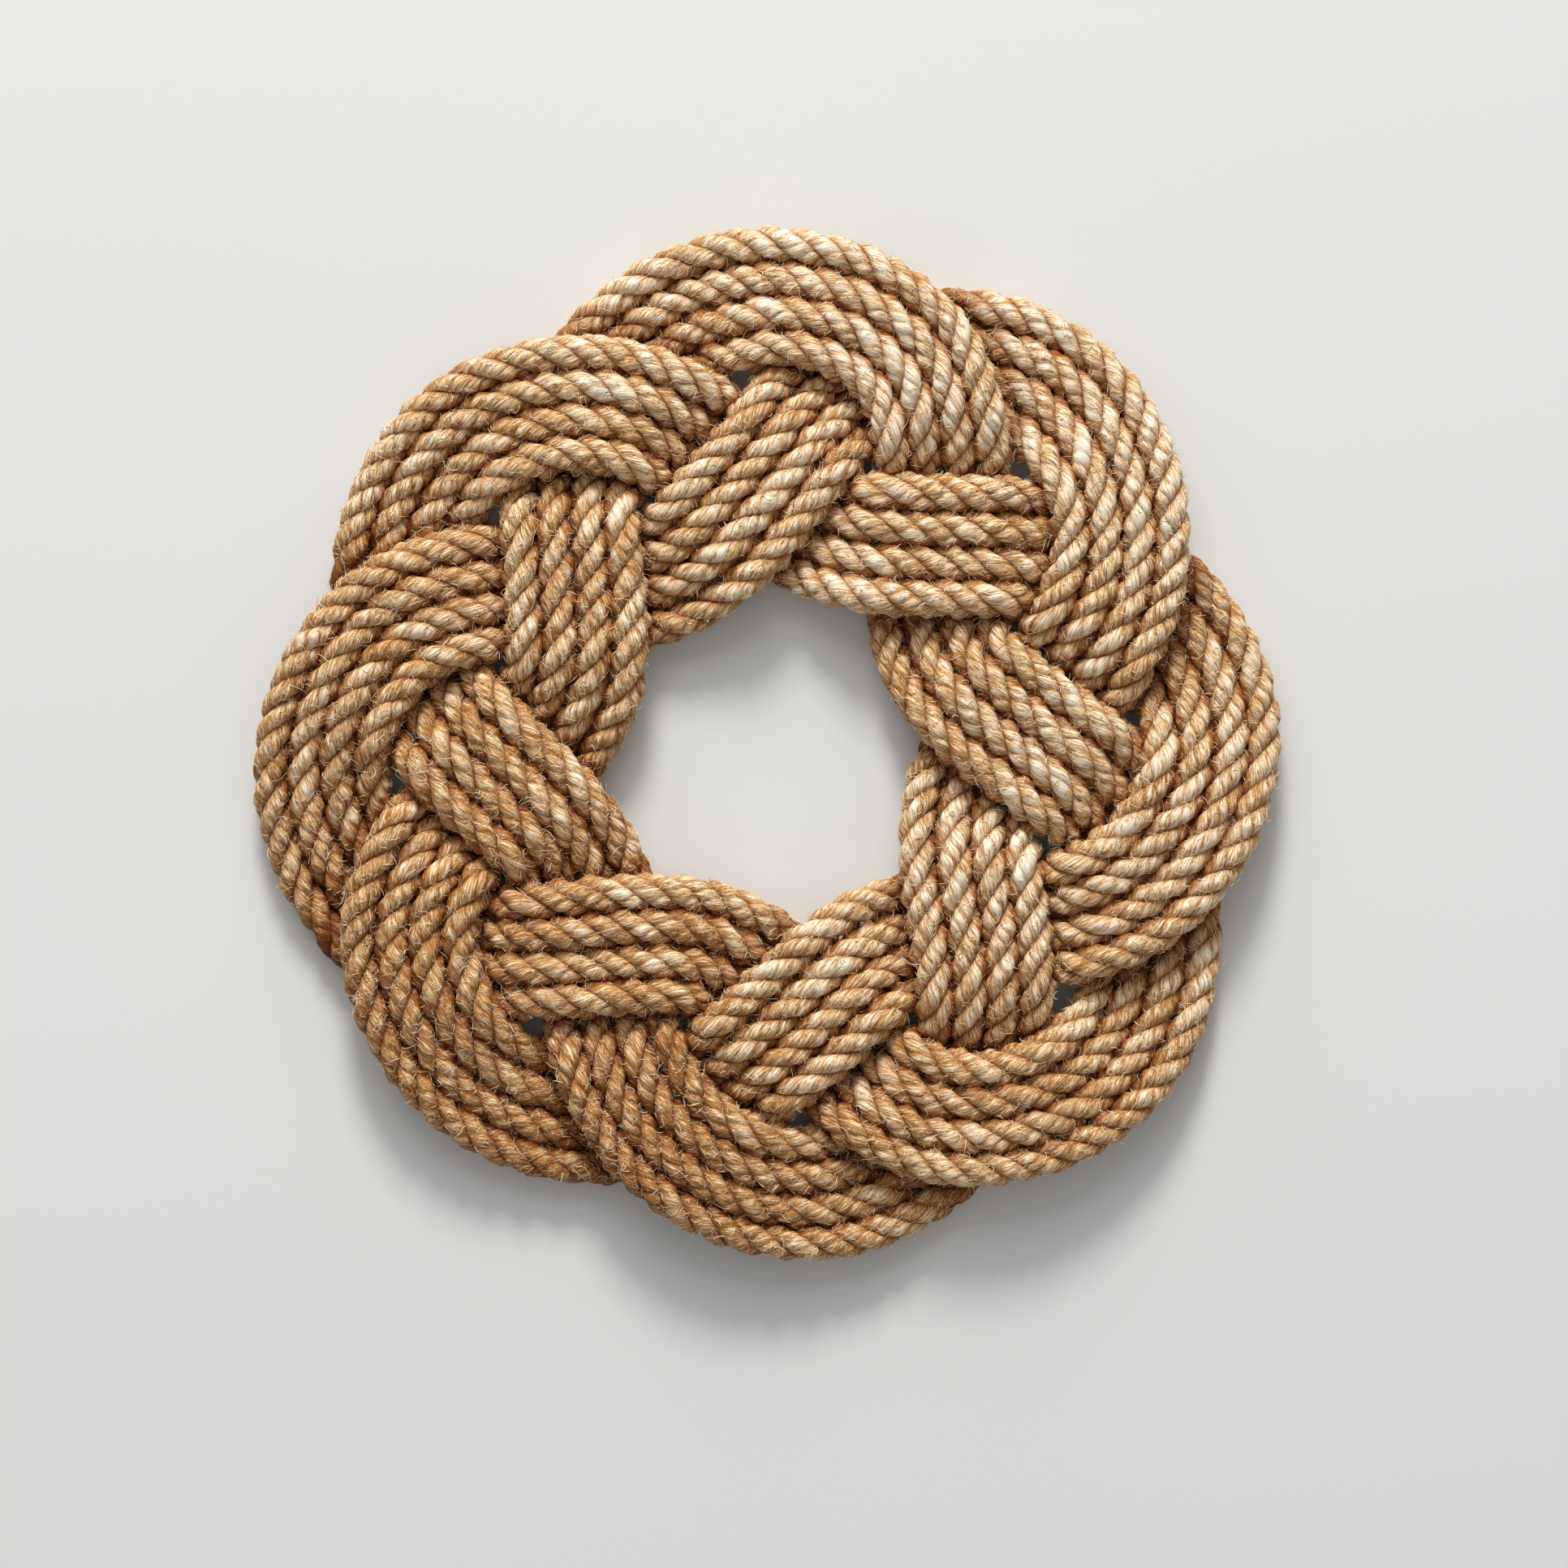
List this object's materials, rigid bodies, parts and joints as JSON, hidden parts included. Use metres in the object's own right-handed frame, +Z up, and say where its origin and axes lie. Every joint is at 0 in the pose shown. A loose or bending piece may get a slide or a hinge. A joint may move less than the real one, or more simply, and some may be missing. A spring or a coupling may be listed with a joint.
{
  "type": "sailor's rope knot mat",
  "caption": "Round flat mat of natural jute rope worked as a Turk's head knot, with scalloped overlapping bights of side-by-side rope round an open middle.",
  "frame": {"origin": "middle of the mat's outline, on the underside that it lies on", "axes": "+Z up, square to the mat; seen from above, +Y is the picture's top and +X its right"},
  "size_m": [0.2403, 0.241, 0.0155],
  "materials": {
    "jute_rope": "rough natural fibre",
    "whipping_twine": "fine natural twine"
  },
  "bodies": {
    "root": {"rope": "jute_rope", "whipping_start": "whipping_twine", "whipping_finish": "whipping_twine"}
  },
  "joints": []
}
